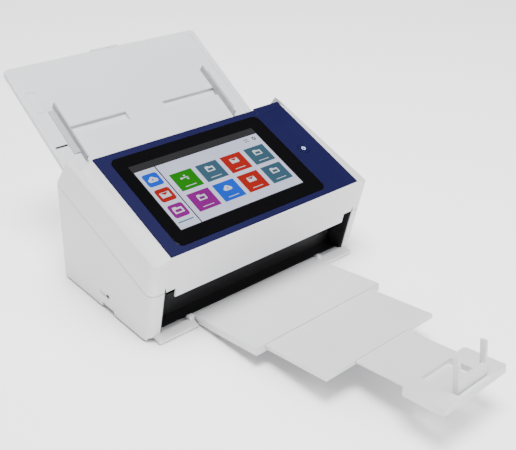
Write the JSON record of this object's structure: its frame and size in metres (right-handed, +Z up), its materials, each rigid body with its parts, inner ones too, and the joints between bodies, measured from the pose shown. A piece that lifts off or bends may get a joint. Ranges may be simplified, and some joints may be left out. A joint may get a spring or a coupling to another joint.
{
  "type": "sheet fed document scanner",
  "caption": "Wedge-shaped desktop document scanner with a sloping touch panel, a rear input tray with side guides and a telescoping front output tray.",
  "frame": {"origin": "on the desk, under the middle of the whole object's box with the trays open as at rest", "axes": "+X to the right as seen from the front, +Y to the back, +Z up"},
  "size_m": [0.318, 0.6218, 0.2224],
  "materials": {
    "white_plastic": "satin moulded plastic",
    "tray_plastic": "satin moulded plastic",
    "guide_plastic": "satin moulded plastic",
    "blue_panel": "satin navy plastic",
    "black_plastic": "matt black plastic",
    "dark_plastic": "matt dark grey plastic",
    "scan_glass": "polished, black behind",
    "circuit_board": "coated board",
    "steel": "plain steel",
    "brass": "plain brass",
    "rubber": "matt rubber"
  },
  "bodies": {
    "base": {"bottom_pan": "white_plastic", "left_side_cover": "white_plastic", "right_side_cover": "white_plastic", "rear_cover": "white_plastic", "left_frame": "steel", "right_frame": "steel", "exit_liner": "black_plastic", "lower_guide": "dark_plastic", "lower_scan_glass": "scan_glass", "lower_image_sensor": "black_plastic", "main_board": "circuit_board", "drive_motor": "steel", "drive_belt": "rubber", "foot_front_left": "rubber", "foot_front_right": "rubber", "foot_rear_left": "rubber", "foot_rear_right": "rubber", "power_inlet": "black_plastic", "usb_port": "steel", "network_port": "steel", "left_hinge_pin": "steel", "right_hinge_pin": "steel", "left_tray_pin": "steel", "right_tray_pin": "steel"},
    "cover": {"cover_shell": "white_plastic", "control_panel": "blue_panel", "touch_glass": "scan_glass", "display_module": "dark_plastic", "display_board": "circuit_board", "upper_guide": "dark_plastic", "upper_image_sensor": "black_plastic", "upper_scan_glass": "scan_glass"},
    "release_lever": {"release_lever": "blue_panel"},
    "power_button": {"power_button": "blue_panel"},
    "drive_roller": {"drive_shaft": "steel", "drive_tyre_left": "rubber", "drive_tyre_right": "rubber", "drive_pulley": "black_plastic"},
    "feed_roller": {"feed_shaft": "steel", "feed_tyre": "rubber", "feed_pulley": "black_plastic"},
    "exit_roller": {"exit_shaft": "steel", "exit_tyre_left": "rubber", "exit_tyre_right": "rubber", "exit_pulley": "black_plastic"},
    "motor_pulley": {"motor_pulley": "brass"},
    "separation_roller": {"separation_roller": "rubber", "separation_shaft": "steel"},
    "drive_idlers": {"drive_idler_left": "white_plastic", "drive_idler_right": "white_plastic"},
    "exit_idlers": {"exit_idler_left": "white_plastic", "exit_idler_right": "white_plastic"},
    "input_tray": {"input_tray": "tray_plastic"},
    "input_extension": {"input_extension": "tray_plastic"},
    "left_guide": {"left_guide": "guide_plastic"},
    "right_guide": {"right_guide": "guide_plastic"},
    "output_tray": {"output_tray": "white_plastic"},
    "output_extension": {"output_extension": "white_plastic"},
    "output_end": {"output_end_tray": "white_plastic"},
    "paper_stop": {"paper_stop": "white_plastic"}
  },
  "joints": [
    {"name": "cover_hinge", "type": "hinge", "parent": "base", "child": "cover", "pos_m": [0, -0.01699, 0.0684], "axis": [1, 0, 0], "range_deg": [0, 75]},
    {"name": "release_lever_pivot", "type": "hinge", "parent": "cover", "child": "release_lever", "pos_m": [0.1168, 0.10945, 0.16479], "axis": [1, 0, 0], "range_deg": [0, 12], "stiffness_Nm_per_rad": 0.06},
    {"name": "power_button_press", "type": "slide", "parent": "cover", "child": "power_button", "axis": [0, 0.3644, -0.9313], "range_m": [0, 0.001], "stiffness_N_per_m": 900},
    {"name": "drive_roller_spin", "type": "hinge", "parent": "base", "child": "drive_roller", "pos_m": [0, 0.07501, 0.06611], "axis": [1, 0, 0], "continuous": true},
    {"name": "feed_roller_spin", "type": "hinge", "parent": "base", "child": "feed_roller", "pos_m": [0, 0.10372, 0.08057], "axis": [1, 0, 0], "continuous": true},
    {"name": "exit_roller_spin", "type": "hinge", "parent": "base", "child": "exit_roller", "pos_m": [0, 0.03265, 0.03956], "axis": [1, 0, 0], "continuous": true},
    {"name": "motor_pulley_spin", "type": "hinge", "parent": "base", "child": "motor_pulley", "pos_m": [0, 0.06675, 0.028], "axis": [1, 0, 0], "continuous": true},
    {"name": "separation_roller_spin", "type": "hinge", "parent": "cover", "child": "separation_roller", "pos_m": [0, 0.09187, 0.09946], "axis": [1, 0, 0], "continuous": true},
    {"name": "drive_idlers_spin", "type": "hinge", "parent": "cover", "child": "drive_idlers", "pos_m": [0, 0.06635, 0.07992], "axis": [1, 0, 0], "continuous": true},
    {"name": "exit_idlers_spin", "type": "hinge", "parent": "cover", "child": "exit_idlers", "pos_m": [0, 0.02399, 0.05337], "axis": [1, 0, 0], "continuous": true},
    {"name": "input_tray_fold", "type": "hinge", "parent": "base", "child": "input_tray", "pos_m": [0, 0.16622, 0.1296], "axis": [-1, 0, 0], "range_deg": [-89, 0]},
    {"name": "input_extension_slide", "type": "slide", "parent": "input_tray", "child": "input_extension", "axis": [0, 0.8473, 0.5311], "range_m": [0, 0.06]},
    {"name": "left_guide_slide", "type": "slide", "parent": "input_tray", "child": "left_guide", "axis": [1, 0, 0], "range_m": [0, 0.08]},
    {"name": "right_guide_slide", "type": "slide", "parent": "input_tray", "child": "right_guide", "axis": [1, 0, 0], "range_m": [-0.08, 0]},
    {"name": "output_tray_fold", "type": "hinge", "parent": "base", "child": "output_tray", "pos_m": [0, -0.00425, 0.0085], "axis": [1, 0, 0], "range_deg": [-57.5, 0]},
    {"name": "output_extension_slide", "type": "slide", "parent": "output_tray", "child": "output_extension", "axis": [0, -0.989, 0.1478], "range_m": [-0.085, 0]},
    {"name": "output_end_slide", "type": "slide", "parent": "output_extension", "child": "output_end", "axis": [0, -0.989, 0.1478], "range_m": [-0.063, 0]},
    {"name": "paper_stop_flip", "type": "hinge", "parent": "output_end", "child": "paper_stop", "pos_m": [0, -0.30364, 0.05183], "axis": [1, 0, 0], "range_deg": [-90, 0]}
  ],
  "couplings": [
    {"joint": "feed_roller_spin", "follows": "drive_roller_spin", "ratio": 0.72727},
    {"joint": "exit_roller_spin", "follows": "drive_roller_spin", "ratio": 1},
    {"joint": "motor_pulley_spin", "follows": "drive_roller_spin", "ratio": 1.6},
    {"joint": "separation_roller_spin", "follows": "drive_roller_spin", "ratio": -0.87273},
    {"joint": "drive_idlers_spin", "follows": "drive_roller_spin", "ratio": -1.2857},
    {"joint": "exit_idlers_spin", "follows": "drive_roller_spin", "ratio": -1.2857},
    {"joint": "right_guide_slide", "follows": "left_guide_slide", "ratio": -1}
  ]
}
